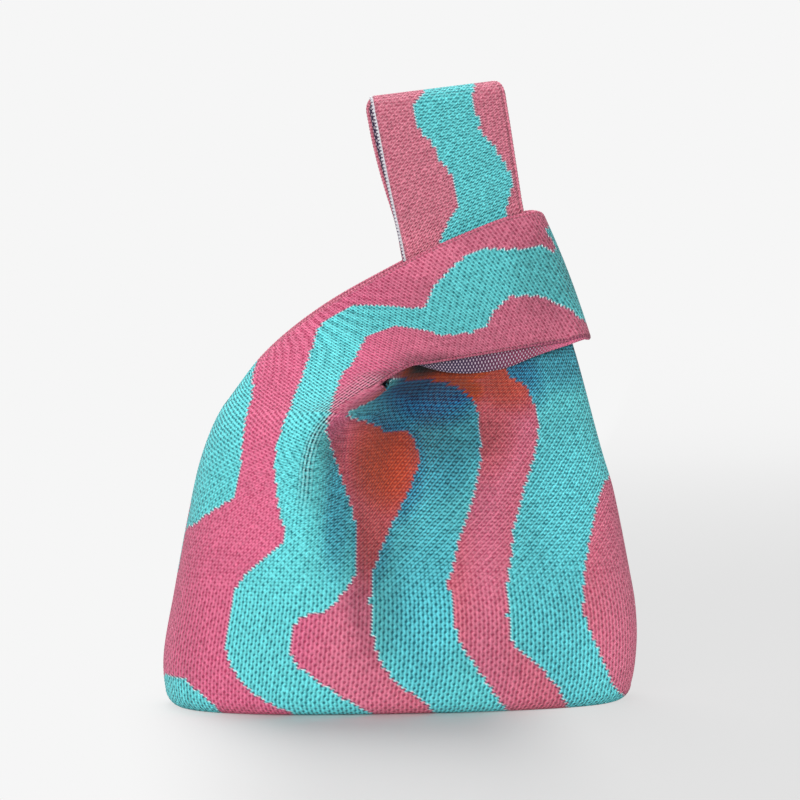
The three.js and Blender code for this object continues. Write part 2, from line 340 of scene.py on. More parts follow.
# Stripes of turquoise on the pink, as closed outlines in the front view, in millimetres
FRONT_STRIPES = {
    "left": [(-20, 203.5), (-31, 199.5), (-40.5, 192.5), (-44, 184), (-48.5, 170), (-54.5, 154),
             (-59.5, 141), (-63.7, 124), (-61.7, 101), (-58.7, 86), (-65, 77), (-77.5, 67), (-83.5, 58),
             (-87.5, 43), (-88.5, 31), (-86, 19.5), (-76, 7), (-65.5, 0), (-54, -4), (-46, -9), (-6, -9),
             (-14, -4), (-28, 3), (-46, 15), (-54, 22), (-55.5, 34), (-51, 44), (-38, 47), (-30, 56),
             (-23, 67), (-22, 87), (-27, 106), (-34.5, 128), (-38, 140), (-34.5, 152), (-30, 166),
             (-24, 174), (-17, 186.5), (-9.5, 190.5), (-1, 192.5), (14, 190), (22, 188), (36, 189.5),
             (45, 194), (48, 200), (55, 207), (63, 208), (73, 207), (85, 202), (92, 196), (105, 193),
             (105, 244), (75, 243), (76.8, 236), (78.3, 230.5), (70, 234), (59, 232), (44, 232),
             (39, 230), (30, 226), (22, 218), (17, 212), (15, 207), (9, 202)],
    "middle": [(-27.5, 148), (-17.5, 154), (-9.5, 159), (-6, 165), (5, 166), (22, 164), (31, 160),
               (37, 155), (40, 145), (41, 130), (40, 116), (34, 95), (29, 80), (27, 69), (24.5, 62),
               (26, 56), (28, 44), (30, 32), (39, 19), (47, 7), (57, -9), (27, -9), (11, 2), (1, 9),
               (-7, 17), (-13, 30), (-15, 45), (-15, 63), (-7.4, 85), (3.5, 106), (8, 116), (10, 123),
               (6, 137.5), (-7, 138.5), (-12, 141.5)],
    "right": [(54, 170), (59, 165), (65, 160), (70, 144), (68.6, 130), (65, 116), (58, 91), (57, 78),
              (55, 65), (54, 54), (55.4, 37), (57.4, 31), (69, 21), (80.5, 8), (93, -9), (128, -9),
              (116.5, 2), (108, 11), (102, 25), (97, 37), (93.5, 47), (93.4, 62), (95.7, 80), (101, 106),
              (106, 116), (122, 135), (112, 191), (54, 191)],
    "left_edge": [(-70, 183), (-71.6, 177), (-74.4, 167), (-74.4, 159), (-78, 145), (-80, 132),
                  (-80.5, 122), (-82.5, 110), (-86, 104), (-97, 97), (-107, 90), (-128, 81), (-128, 190)],
    "left_foot": [(-133, 16), (-119, 15), (-109, 13), (-105, 9), (-98, 3), (-90, -4), (-87, -11),
                  (-133, -11)],
}
BAND_STRIPES = {label: FRONT_STRIPES[label] for label in ("left", "left_edge")}
LOOP_STRIPES = {
    "loop": [(14, 323), (13, 313), (7, 305), (7, 299), (11.7, 290), (16, 286), (21, 276), (25.7, 270),
             (27.4, 260), (29, 253), (25, 247), (20, 235), (15, 219), (51, 219), (54, 251), (57, 264),
             (56, 271), (52, 278), (46, 287), (41, 292), (40, 299), (37, 307), (37, 323)],
}
BACK_SHIFT = 16
BACK_WAVE = 34
BACK_SHIFT_START, BACK_SHIFT_FULL = 2, 25
CURVE_STEPS = 4


def seen(points):
    """Where points lie in the front view."""
    along = points[..., 0] * math.sin(VIEW_TURN) + points[..., 1] * math.cos(VIEW_TURN)
    x = points[..., 0] * math.cos(VIEW_TURN) - points[..., 1] * math.sin(VIEW_TURN)
    height = points[..., 2] - VIEW_HEIGHT
    up = height * math.cos(VIEW_RISE) + along * math.sin(VIEW_RISE)
    away = along * math.cos(VIEW_RISE) - height * math.sin(VIEW_RISE)
    scale = VIEW_DISTANCE / (VIEW_DISTANCE + away)
    return together(x * scale, VIEW_HEIGHT + up * scale)


def rounded(outline):
    """A closed outline smoothed through its points."""
    points = np.array(outline, float)
    before, after, far = np.roll(points, 1, 0), np.roll(points, -1, 0), np.roll(points, -2, 0)
    steps = []
    for t in np.linspace(0, 1, CURVE_STEPS, endpoint=False):
        steps.append(
            0.5 * (2 * points + (after - before) * t + (2 * before - 5 * points + 4 * after - far) * t * t
                   + (3 * points - before - 3 * after + far) * t ** 3)
        )
    return np.stack(steps, axis=1).reshape(-1, 2)


def inside(outline, at):
    """Which points lie inside a closed outline."""
    x, y = at[..., 0], at[..., 1]
    result = np.zeros(x.shape, bool)
    for (x0, y0), (x1, y1) in zip(outline, np.roll(outline, -1, 0)):
        if y0 == y1:
            continue
        crosses = (y0 > y) != (y1 > y)
        result ^= crosses & (x < x0 + (y - y0) / (y1 - y0) * (x1 - x0))
    return result


def striped(points, stripes):
    at = seen(points)
    result = np.zeros(at.shape[:-1], bool)
    for outline in stripes.values():
        result |= inside(rounded(outline), at)
    return result


def back_striped(points, stripes):
    """Stripes of the unseen back: the front's, carried on round the side seams and shifted between them."""
    mirrored = points * np.array([1, -1, 1])
    shifted = smooth(BACK_SHIFT_START, BACK_SHIFT_FULL, points[..., 1])
    mirrored[..., 0] += BACK_SHIFT * np.sin(points[..., 2] / BACK_WAVE) * shifted
    return striped(mirrored, stripes)


# Cloth meshes
TONE_SPREAD = 0.7
TONE_LIMIT = 2
SAME_PLACE_DIGITS = 3
STITCH_CORNERS = np.array([(0, 0), (1, 0), (1, 1), (0, 1)], float)
EDGES = ("edge_across", "edge_along")
LOOKS = ("open", "shade", "tone", "lean", "ribbed", "slant", "slip", "faded")


def store(mesh, name, values):
    """Keeps one value for each face, for the materials to read."""
    attribute = mesh.attributes.new(name, "FLOAT", "FACE")
    attribute.data.foreach_set("value", np.asarray(values, np.float32))


def stitch_layer(mesh, places):
    mesh.uv_layers.new(name="stitches").data.foreach_set("uv", places.ravel())


def new_object(name, points, faces, *materials):
    """A smooth mesh object, from points in millimetres."""
    mesh = bpy.data.meshes.new(name)
    mesh.from_pydata((np.asarray(points) * METRE).tolist(), [], faces)
    mesh.polygons.foreach_set("use_smooth", np.ones(len(faces), bool))
    for material in materials:
        mesh.materials.append(material)
    obj = bpy.data.objects.new(name, mesh)
    bpy.context.scene.collection.objects.link(obj)
    return obj


def centres(rows):
    """Middle of each stitch of a grid."""
    rows = np.asarray(rows, float)
    return (rows[:-1, :-1] + rows[1:, :-1] + rows[1:, 1:] + rows[:-1, 1:]) / 4


def cut_edges(quads, count):
    """Faces that close the rim between a sheet's two sides, and the stitch that each one belongs to."""
    edges = np.concatenate([quads[:, [k, (k + 1) % 4]] for k in range(4)])
    owner = np.tile(np.arange(len(quads)), 4)
    _, which, uses = np.unique(np.sort(edges, axis=1), axis=0, return_inverse=True, return_counts=True)
    lone = uses[which.ravel()] == 1
    start, end = edges[lone].T
    return together(end, start, start + count, end + count), owner[lone]


class Cloth:
    """Collects stitch grids into one sheet with a right side, a wrong side and cut edges."""

    def __init__(self, name):
        self.name = name
        self.points = []
        self.normals = []
        self.faces = []
        self.stitches = []
        self.values = {label: [] for label in ("yarn", *EDGES, *LOOKS)}

    def grid(self, rows, side, yarn, keep=True, origin=(0, 0), **looks):
        """Adds a grid of stitches, with its looks as one value each or one for each stitch.

        Columns run left to right, seen from the front, and side says which way the grid faces.
        """
        rows = np.asarray(rows, float)
        tall, wide = rows.shape[0] - 1, rows.shape[1] - 1
        kept = np.broadcast_to(keep, (tall, wide))
        normal = unit(np.cross(np.gradient(rows, axis=1), np.gradient(rows, axis=0))) * -side
        first = sum(len(p) for p in self.points)
        self.points.append(rows.reshape(-1, 3))
        self.normals.append(normal.reshape(-1, 3))
        j, i = np.meshgrid(np.arange(tall), np.arange(wide), indexing="ij")
        corner = first + j * (wide + 1) + i
        quads = together(corner, corner + 1, corner + wide + 2, corner + wide + 1)
        if side > 0:
            quads = quads[..., ::-1]
        self.faces.append(quads[kept])
        self.stitches.append((together(i + origin[0], j + origin[1])[kept], side))
        around = np.pad(yarn, 1, mode="edge")
        values = {label: looks.get(label, 0.0) for label in LOOKS}
        values["yarn"] = yarn * 1.0
        values["edge_across"] = (around[1:-1, 2:] != yarn) * 1.0 - (around[1:-1, :-2] != yarn)
        values["edge_along"] = (around[2:, 1:-1] != yarn) * 1.0 - (around[:-2, 1:-1] != yarn)
        for label, value in values.items():
            self.values[label].append(np.broadcast_to(value, (tall, wide))[kept])
        # Random tone of the yarn, on top of the painted light and shade
        uneven = rng.normal(0, TONE_SPREAD, kept.sum()).clip(-TONE_LIMIT, TONE_LIMIT)
        self.values["tone"][-1] = self.values["tone"][-1] + uneven

    def build(self, right_side, wrong_side, cut):
        """The sheet as an object, with a material for each side and for the cut edges."""
        loose = np.concatenate(self.points)
        places = loose.round(SAME_PLACE_DIGITS)
        _, first, same = np.unique(places, axis=0, return_index=True, return_inverse=True)
        same = same.ravel()
        middle = loose[first]
        normal = np.zeros_like(middle)
        np.add.at(normal, same, np.concatenate(self.normals))
        normal = unit(normal) * CLOTH / 2
        points = np.concatenate([middle + normal, middle - normal])
        quads = same[np.concatenate(self.faces)]
        behind = quads[:, ::-1] + len(middle)
        rim, rim_owner = cut_edges(quads, len(middle))
        faces = np.concatenate([quads, behind, rim])
        obj = new_object(self.name, points, faces.tolist(), right_side, wrong_side, cut)
        slots = np.repeat([0, 1, 2], [len(quads), len(behind), len(rim)])
        obj.data.polygons.foreach_set("material_index", slots.astype(np.int32))
        self.stitch_map(obj.data, len(rim))
        for label, parts in self.values.items():
            values = np.concatenate(parts)
            store(obj.data, label, np.concatenate([values, values, values[rim_owner]]))
        return obj

    def stitch_map(self, mesh, cuts):
        """UV map counted in stitches: one unit across a wale, one along a course."""
        fronts = [cells[:, None, :] + STITCH_CORNERS[::-side] for cells, side in self.stitches]
        front = np.concatenate(fronts)
        strip = np.tile(STITCH_CORNERS, (cuts, 1, 1)) + np.arange(cuts)[:, None, None]
        stitch_layer(mesh, np.concatenate([front, front[:, ::-1], strip]))


# Stitched edgings
CORD_SIDES = 10
CORD_STEP = 0.6
CORD_STITCH = 1.75
CORD_WALES = 3
CORD_SWELL = 0.12
CORD_LEAST_STEPS = 12
CORD_ASIDE = np.array([0.3, 0.2, 0.93])
DARK_FADE = 20
INNER_START, INNER_FULL = -0.55, -0.2


def cord_points(line, radius):
    """Rings round a line that swell in a slant, like a chain of stitches."""
    tangent = unit(np.gradient(line, axis=0))
    first = unit(np.cross(tangent, CORD_ASIDE))
    second = np.cross(tangent, first)
    along = np.arange(len(line)) * CORD_STEP
    rings = []
    for angle in np.linspace(0, 2 * math.pi, CORD_SIDES, endpoint=False):
        swell = 1 + CORD_SWELL * np.sin(2 * math.pi * along / CORD_STITCH + angle)
        spoke = math.cos(angle) * first + math.sin(angle) * second
        rings.append(line + spoke * (radius * swell)[:, None])
    return np.stack(rings, axis=1).reshape(-1, 3)


def by_step(values, ends=(0, 0)):
    """A value for each face of a cord, from one for each step along it and one for each end."""
    return np.concatenate([np.repeat(values, CORD_SIDES), ends])


def cord(name, line, radius, materials, yarn_of, dark_from=None, **looks):
    """A stitched edging along a line; a second material is for what lies behind the bag's middle."""
    line = np.asarray(line, float)
    line = resample(line, max(int(paces(line)[-1] / CORD_STEP), CORD_LEAST_STEPS))
    middle = (line[:-1] + line[1:]) / 2
    points = cord_points(line, radius)
    j, k = np.meshgrid(np.arange(len(middle)), np.arange(CORD_SIDES), indexing="ij")
    low, high, after = j * CORD_SIDES, (j + 1) * CORD_SIDES, (k + 1) % CORD_SIDES
    tube = together(low + k, low + after, high + after, high + k).reshape(-1, 4)
    last = len(middle) * CORD_SIDES
    ends = [list(range(CORD_SIDES))[::-1], list(range(last, last + CORD_SIDES))]
    obj = new_object(name, points, tube.tolist() + ends, *materials)
    mesh = obj.data
    u = together(k, k + 1, k + 1, k) / CORD_SIDES * CORD_WALES
    v = together(j, j, j + 1, j + 1) * CORD_STEP / CORD_STITCH
    sides = together(u, v).reshape(-1, 2)
    stitch_layer(mesh, np.concatenate([sides, np.full((2 * CORD_SIDES, 2), 0.5)]))
    yarn = yarn_of(middle)
    dark = smooth(dark_from, dark_from + DARK_FADE, line[:-1, 0]) if dark_from else np.zeros(len(middle))
    outward = unit(points[tube].mean(axis=1) - np.repeat(middle, CORD_SIDES, axis=0))
    store(mesh, "yarn", by_step(yarn, (yarn[0], yarn[-1])))
    store(mesh, "dark", by_step(dark))
    store(mesh, "inner", np.append(smooth(INNER_START, INNER_FULL, outward[:, 0]), (0, 0)))
    for label in (*EDGES, *LOOKS):
        store(mesh, label, np.full(len(tube) + len(ends), looks.get(label, 0.0)))
    if len(materials) > 1:
        behind = by_step(line[:-1, 1] > 0, (False, True))
        mesh.polygons.foreach_set("material_index", behind.astype(np.int32))
    return obj


def srgb(red, green, blue):
    """A colour given as 0 to 255 on screen."""
    parts = [c / 255 for c in (red, green, blue)]
    return tuple(c / 12.92 if c <= 0.04045 else ((c + 0.055) / 1.055) ** 2.4 for c in parts) + (1,)


# Yarn colours on the crest of a stitch and in the gap beside it, with orange and blue ones that stand for
# pink and turquoise in painted shade
CRESTS = {
    "pink": srgb(238, 119, 155), "faded_pink": srgb(235, 140, 160), "turquoise": srgb(116, 240, 244),
    "painted_shade_pink": srgb(206, 82, 28), "painted_shade_turquoise": srgb(16, 136, 190),
}
GAPS = {
    "pink": srgb(178, 50, 92), "faded_pink": srgb(170, 70, 96), "turquoise": srgb(18, 120, 130),
    "painted_shade_pink": srgb(152, 44, 2), "painted_shade_turquoise": srgb(0, 18, 66),
}
PALE_RIM_AND_HIGHLIGHT = srgb(232, 248, 248)
DARK_RIM = srgb(112, 40, 84)
PAINTED_GAP_SHADE = srgb(22, 24, 40)
WHITE_YARN = srgb(224, 222, 228)
DARK_YARN = srgb(64, 44, 78)
PALE_FLOATS = srgb(204, 186, 200)
PINK_FLOATS = srgb(168, 62, 96)
DARK_FLOATS = srgb(40, 30, 60)


class Nodes:
    """Short calls to add shader nodes."""

    def __init__(self, name):
        self.material = bpy.data.materials.new(name)
        self.material.use_nodes = True
        self.tree = self.material.node_tree
        self.shader = self.tree.nodes["Principled BSDF"]

    def feed(self, socket, value):
        if hasattr(value, "is_output"):
            self.tree.links.new(value, socket)
        else:
            socket.default_value = value

    def new(self, kind, **inputs):
        """A node with some inputs set or linked; an underscore stands for the gap in an input's name."""
        node = self.tree.nodes.new("ShaderNode" + kind)
        for label, value in inputs.items():
            self.feed(node.inputs[label.replace("_", " ")], value)
        return node

    def maths(self, kind, *values):
        node = self.new("Math")
        node.operation = kind
        for socket, value in zip(node.inputs, values):
            self.feed(socket, value)
        return node.outputs[0]

    def times(self, first, second):
        return self.maths("MULTIPLY", first, second)

    def ramp(self, value, slope, start):
        return self.maths("MULTIPLY_ADD", value, slope, start)

    def ripple(self, phase):
        """A wave for each whole number of the phase."""
        return self.maths("COSINE", self.times(phase, 2 * math.pi))

    def span(self, value, low, high):
        """0 at low, 1 at high, smooth between."""
        node = self.new("MapRange", Value=value, From_Min=low, From_Max=high)
        node.interpolation_type = "SMOOTHSTEP"
        return node.outputs["Result"]

    def blend(self, factor, first, second):
        """A mix of two colours, by the colour sockets of a node that also mixes numbers and vectors."""
        node = self.new("Mix")
        node.data_type = "RGBA"
        self.feed(node.inputs["Factor"], factor)
        self.feed(node.inputs[6], first)
        self.feed(node.inputs[7], second)
        return node.outputs[2]

    def attribute(self, name):
        node = self.new("Attribute")
        node.attribute_name = name
        return node.outputs["Fac"]

    def split(self, vector):
        node = self.new("SeparateXYZ", Vector=vector)
        return node.outputs[0], node.outputs[1]

    def stitch_axes(self):
        """The stitch map, and its places across the wales and along the courses."""
        node = self.new("UVMap")
        node.uv_map = "stitches"
        uv = node.outputs["UV"]
        return (uv, *self.split(uv))

    def noise(self, vector, scale, detail=2.0):
        return self.new("TexNoise", Vector=vector, Scale=scale, Detail=detail).outputs["Fac"]

    def finish(self, colour, roughness=0.85, sheen=0.15):
        """A matt surface of a colour."""
        looks = {"Base Color": colour, "Roughness": roughness, "Specular IOR Level": 0.25}
        looks.update({"Sheen Weight": sheen, "Sheen Roughness": 0.6})
        for label, value in looks.items():
            self.feed(self.shader.inputs[label], value)

    def bump(self, height, distance):
        node = self.new("Bump", Height=height, Distance=distance)
        self.feed(self.shader.inputs["Normal"], node.outputs["Normal"])


# Stitch relief: depth of each wave, and how it changes where the wales or the courses stand out
WALE_DEPTH, RIBBED_WALES, DRAWN_WALES = 0.2, 0.37, 0.1
COURSE_DEPTH, RIBBED_COURSES, DRAWN_COURSES = 0.46, -0.26, 0.25
CHECK_DEPTH, RIBBED_CHECK = 0.26, 0.35
LEAN_DRIFT, DRIFT_SCALE = 0.3, 0.05
WANDER, WALES_EVEN = 0.6, 0.3
WANDER_ACROSS, WANDER_ALONG = 0.35, 0.45
UNEVEN, UNEVEN_SCALE = 1.5, 0.6
STITCH_BUMP = 0.0004


def wander(n, uv, axis, scale, reach):
    """An axis of the stitch map, pushed about a little, as yarn lies unevenly."""
    return n.ramp(n.maths("SUBTRACT", n.noise(uv, scale), 0.5), reach, axis)


def stitch_height(n, uv, u, v):
    """Height of the stitches: wales, courses, a slant where the cloth is drawn aside, and a check.

    Where "ribbed" is over 0 the courses stand out more, and where it is under 0 the wales do.
    """
    ribbed = n.attribute("ribbed")
    courses = n.maths("MAXIMUM", ribbed, 0.0)
    wales = n.maths("MAXIMUM", n.times(ribbed, -1.0), 0.0)
    reach = n.ramp(wales, -WALES_EVEN, WANDER)
    u = wander(n, uv, u, WANDER_ACROSS, reach)
    v = wander(n, uv, v, WANDER_ALONG, reach)
    v = n.ramp(u, n.attribute("slant"), n.maths("SUBTRACT", v, n.attribute("slip")))
    rising, falling = n.maths("SUBTRACT", u, v), n.maths("ADD", u, v)
    upright = n.ramp(wales, RIBBED_WALES, n.ramp(courses, DRAWN_WALES, WALE_DEPTH))
    level = n.ramp(wales, RIBBED_COURSES, n.ramp(courses, DRAWN_COURSES, COURSE_DEPTH))
    drift = n.ramp(n.noise(uv, DRIFT_SCALE), LEAN_DRIFT, -LEAN_DRIFT / 2)
    lean = n.maths("MAXIMUM", n.maths("ADD", n.attribute("lean"), drift), 0.0)
    height = n.ramp(n.noise(uv, UNEVEN_SCALE), UNEVEN, -UNEVEN / 2)
    height = n.maths("SUBTRACT", height, n.times(n.ripple(u), upright))
    height = n.maths("SUBTRACT", height, n.times(n.ripple(v), level))
    height = n.ramp(n.ripple(rising), lean, height)
    height = n.ramp(n.ripple(n.times(falling, 0.5)), n.ramp(wales, -CHECK_DEPTH, CHECK_DEPTH), height)
    return n.ramp(n.ripple(n.times(rising, 0.5)), n.times(wales, RIBBED_CHECK), height)


# Looks of the right side: levels of gap and crest and their lift in the painted shade, the step of tone and
# painted light, rims, and opened wales with a painted highlight and painted shade
GAP_LEVEL, CREST_LEVEL = -1.1, 0.5
GAP_LIFT, CREST_LIFT = 0.45, 0.5
TONE_AND_PAINTED_LIGHT_STEP = 0.08
EDGE_REACH = 0.25
RIM_START, RIM_FULL = 0.3, 0.48
SIDE_RIM = 0.85
PALE_BEADS, PALE_ON_PINK, PALE_STRENGTH = (0.0, 0.8), 0.4, 0.9
DARK_BEADS, DARK_ON_TURQUOISE, DARK_STRENGTH = (0.1, -0.6), 0.7, 0.7
HIGHLIGHT_WALES, HIGHLIGHT_ON_PINK, HIGHLIGHT_ON_TURQUOISE = (0.0, -0.9), 0.3, 0.25
SLITS, SLIT_BREAKS = (0.0, 0.6), 0.35


def yarn_colour(n, colours):
    """Colour by yarn, with the pink drawn greyer by share, tinted orange and blue by the painted shade."""
    yarn = n.attribute("yarn")
    pink = n.blend(n.attribute("faded"), colours["pink"], colours["faded_pink"])
    painted_shade_tint = n.blend(yarn, colours["painted_shade_pink"], colours["painted_shade_turquoise"])
    return n.blend(n.attribute("shade"), n.blend(yarn, pink, colours["turquoise"]), painted_shade_tint)


def toned(n, colour):
    """The colour scaled by the yarn's random tone and by painted light and shade by place, and darker still
    where the painted shade is over 1.
    """
    gloom = n.maths("MAXIMUM", n.maths("SUBTRACT", n.attribute("shade"), 1.0), 0.0)
    scale = n.ramp(n.attribute("tone"), TONE_AND_PAINTED_LIGHT_STEP, n.maths("SUBTRACT", 1.0, gloom))
    node = n.new("VectorMath", Vector=colour)
    node.operation = "SCALE"
    n.feed(node.inputs["Scale"], scale)
    return node.outputs[0]


def toward(n, axis, edge):
    """How near a place in a stitch is to the side where the other colour begins."""
    side = n.attribute(edge)
    reach = n.times(n.maths("ABSOLUTE", side), EDGE_REACH)
    return n.ramp(n.maths("SUBTRACT", n.maths("FRACT", axis), 0.5), side, reach)


def rims(n, colour, u, v, raised):
    """Pale and dark beads where the two yarns meet, and the dark gaps along the lower hem."""
    yarn = n.attribute("yarn")
    beside = n.times(n.span(toward(n, u, "edge_across"), RIM_START, RIM_FULL), SIDE_RIM)
    near = n.maths("MAXIMUM", beside, n.span(toward(n, v, "edge_along"), RIM_START, RIM_FULL))
    beads = n.ripple(n.ramp(u, 0.5, v))
    pale = n.times(n.ramp(yarn, 1 - PALE_ON_PINK, PALE_ON_PINK), n.span(beads, *PALE_BEADS))
    # Pale beads fade out under the painted shade
    pale = n.times(n.times(pale, near), n.ramp(n.attribute("shade"), -PALE_STRENGTH, PALE_STRENGTH))
    dark = n.times(n.ramp(yarn, DARK_ON_TURQUOISE - 1, 1.0), n.span(beads, *DARK_BEADS))
    hem = n.times(n.attribute("dark"), n.maths("SUBTRACT", 1.0, raised))
    dark = n.maths("MAXIMUM", n.times(dark, near), hem)
    return n.blend(n.times(dark, DARK_STRENGTH), n.blend(pale, colour, PALE_RIM_AND_HIGHLIGHT), DARK_RIM)


def opened_wales(n, colour, u, v):
    """Wales drawn apart over the fold: a painted highlight on their crests, and painted shade in the dark
    broken slits between them.
    """
    opened = n.attribute("open")
    wale = n.ripple(u)
    share = n.ramp(n.attribute("yarn"), HIGHLIGHT_ON_TURQUOISE - HIGHLIGHT_ON_PINK, HIGHLIGHT_ON_PINK)
    painted_highlight = n.times(n.times(n.span(wale, *HIGHLIGHT_WALES), opened), share)
    broken = n.ramp(n.ripple(n.times(v, 0.5)), SLIT_BREAKS, 1 - SLIT_BREAKS)
    slit = n.times(n.span(wale, *SLITS), n.times(opened, broken))
    return n.blend(slit, n.blend(painted_highlight, colour, PALE_RIM_AND_HIGHLIGHT), PAINTED_GAP_SHADE)


def knit_material():
    n = Nodes("stitched_knit")
    uv, u, v = n.stitch_axes()
    height = stitch_height(n, uv, u, v)
    shade = n.attribute("shade")
    raised = n.span(height, n.ramp(shade, GAP_LIFT, GAP_LEVEL), n.ramp(shade, CREST_LIFT, CREST_LEVEL))
    colour = toned(n, n.blend(raised, yarn_colour(n, GAPS), yarn_colour(n, CRESTS)))
    n.finish(opened_wales(n, rims(n, colour, u, v, raised), u, v))
    n.bump(height, STITCH_BUMP)
    return n.material


FLOAT_DOTS = (0.1, 0.7)
FLOAT_SCALE, FLOAT_SPREAD = 0.5, 0.4


def wrong_side_material():
    """Wrong side of the knit: pale dots over floats of both yarns."""
    n = Nodes("wrong_side_knit")
    uv, u, v = n.stitch_axes()
    dots = n.times(n.ripple(u), n.ripple(n.times(v, 0.5)))
    floats = n.blend(n.attribute("shade"), DARK_YARN, PINK_FLOATS)
    floats = n.blend(n.times(n.noise(uv, FLOAT_SCALE), FLOAT_SPREAD), floats, DARK_FLOATS)
    plain = n.attribute("open")
    dotted = n.times(n.span(dots, *FLOAT_DOTS), n.maths("SUBTRACT", 1.0, plain))
    n.finish(n.blend(dotted, n.blend(plain, floats, CRESTS["pink"]), PALE_FLOATS))
    n.bump(dots, STITCH_BUMP)
    return n.material


EDGING_DOTS, EDGING_INNER = (-0.3, 0.4), 0.88
FIBRE_SCALE, FIBRE_DETAIL, FIBRE_BUMP = 6.0, 4.0, 0.0003


def edging_material():
    """Edging yarn: white toward the cloth, dotted with a dark yarn outside."""
    n = Nodes("pale_edging")
    uv, _, v = n.stitch_axes()
    outer = n.ramp(n.attribute("inner"), -EDGING_INNER, 1.0)
    n.finish(n.blend(n.times(n.span(n.ripple(v), *EDGING_DOTS), outer), WHITE_YARN, DARK_YARN))
    n.bump(n.noise(uv, FIBRE_SCALE, FIBRE_DETAIL), FIBRE_BUMP)
    return n.material


knit = knit_material()
wrong_side = wrong_side_material()
pale_edge = edging_material()

# Painted shade under the band and in the fold, in the front view: x, height, half width, half height, depth
# of shade
PAINTED_SHADE_POOLS = [
    (2, 171, 26, 8, 1.75), (30, 170, 22, 8, 1.2), (14, 158, 33, 22, 1.0), (16, 126, 26, 28, 0.5),
    (-6, 124, 24, 36, 0.92), (-14, 92, 13, 34, 0.6), (54, 168, 23, 22, 0.85), (41, 144, 20, 30, 0.45),
    (-33, 104, 10, 38, 0.5), (78, 176, 24, 18, 0.5), (12, 70, 24, 70, 0.28), (78, 70, 26, 90, 0.16),
    (18, 160, 30, 11, 1.35),
]

# Painted light and shade in the front view: x, height, half width, half height, steps lighter
PAINTED_LIGHT_POOLS = [
    (-60, 150, 34, 34, 1.3), (-36, 168, 20, 22, 1.2), (0, 2, 130, 14, 0.9), (-66, 94, 24, 26, 1.4),
    (22, 154, 12, 9, 2.6), (90, 24, 12, 20, 1.0), (88, 102, 18, 34, 3.2), (2, 106, 20, 28, 2.4),
    (65, 163, 12, 9, 3.4), (-36, 191, 16, 8, 1.6), (-5, 180, 25, 11, 2.5), (10, 230, 24, 12, 2.4),
    (108, 22, 18, 30, 1.6), (20, 42, 12, 20, 1.8), (-17, 160, 8, 6, 2.0), (-36, 134, 8, 14, -5.0),
    (-43, 115, 10, 22, -2.4), (-25, 90, 8, 46, -2.5), (-12, 52, 14, 34, -4.4), (0, 88, 10, 14, -2.5),
    (24, 136, 28, 15, -4.8), (-15, 147, 14, 8, -2.0), (30, 106, 18, 18, -2.0), (14, 174, 18, 5, -5.5),
    (-5, 167.5, 7, 4, -5.0), (44, 22, 22, 24, -1.2), (76, 220, 20, 24, -2.6), (74, 181, 9, 5, -3.0),
    (-108, 55, 9, 70, -1.3),
]
SHADE_START, SHADE_FULL = 4, 16


def pool(at, x, height, wide, tall):
    return np.exp(-((((at[..., 0] - x) / wide) ** 2 + ((at[..., 1] - height) / tall) ** 2) ** 2))


def soft_tone(rows):
    """Steps of painted light and shade on the cloth, by its place in the front view."""
    at = seen(centres(rows))
    return sum(lift * pool(at, *place) for *place, lift in PAINTED_LIGHT_POOLS)


def painted_shade(rows):
    """Painted shade under the band and in the fold, by the cloth's place in the front view.

    There is none left of the fold's ridge, and over 1 the painted shade darkens too.
    """
    middle = centres(rows)
    at = seen(middle)
    shade = np.zeros(at.shape[:-1])
    for *place, depth in PAINTED_SHADE_POOLS:
        shade = np.maximum(shade, depth * pool(at, *place))
    return shade * smooth(SHADE_START, SHADE_FULL, middle[..., 0] - ridge_line(middle[..., 2]))


# Small hole where the mouth ends, and the wales drawn apart over the fold's crest
HOLE = (-10.5, 165.3)
HOLE_SIZE = 2.9
CREST_SPREAD = 1.6
CREST_START, CREST_FULL = 96, 128
BAND_CREST_SPREAD = 7
BAND_CREST_ROWS = 25
BAND_CREST_FADE = 6


def mouth_corner(rows):
    """Stitches kept round the hole."""
    at = centres(rows)
    away = np.hypot(at[..., 0] - HOLE[0], at[..., 2] - HOLE[1])
    return away > HOLE_SIZE


def crest_wales(columns, crest, spread):
    return np.exp(-(((np.arange(columns)[None, :] - crest) / spread) ** 4))


def face_crest(rows):
    drawn = smooth(CREST_START, CREST_FULL, centres(rows)[..., 2])
    return crest_wales(rows.shape[1] - 1, LEFT_WALES - 0.5, CREST_SPREAD) * drawn


def band_crest(rows):
    along = np.arange(len(rows) - 1)[:, None]
    drawn = smooth(BAND_CREST_ROWS, BAND_CREST_ROWS - BAND_CREST_FADE, along)
    return crest_wales(LEFT_WALES, LEFT_WALES, BAND_CREST_SPREAD) * drawn


# How the stitches lie, by height on the faces and by place along the band
DRAWN_START = 110
DRAWN_LEAN = 0.5
RIGHT_LEAN_RISE, LEFT_LEAN_RISE = (12, 60), (40, 90)
RIBBED_LEAN = 0.85
DRAWN_SLANT, END_SLANT = 0.45, -0.25
SLANT_START = 85
FACE_MIDDLE, BAND_MIDDLE = 14, 28
BASE_RIBS_TOP, BASE_RIBS_FULL = 95, 45
LEFT_RIBS, LEFT_RIBS_FULL = 0.5, 100
# Share of greyer pink right of the fold's ridge and toward the band's end
RIGHT_GREYER = 0.5
BAND_END_START, BAND_END_FULL = -30, 25
BAND_LEAN = -0.1
END_RIBS = 0.1
# Painted shade that darkens the band toward the loop's end, in steps
BAND_END_PAINTED_SHADE = -2.6


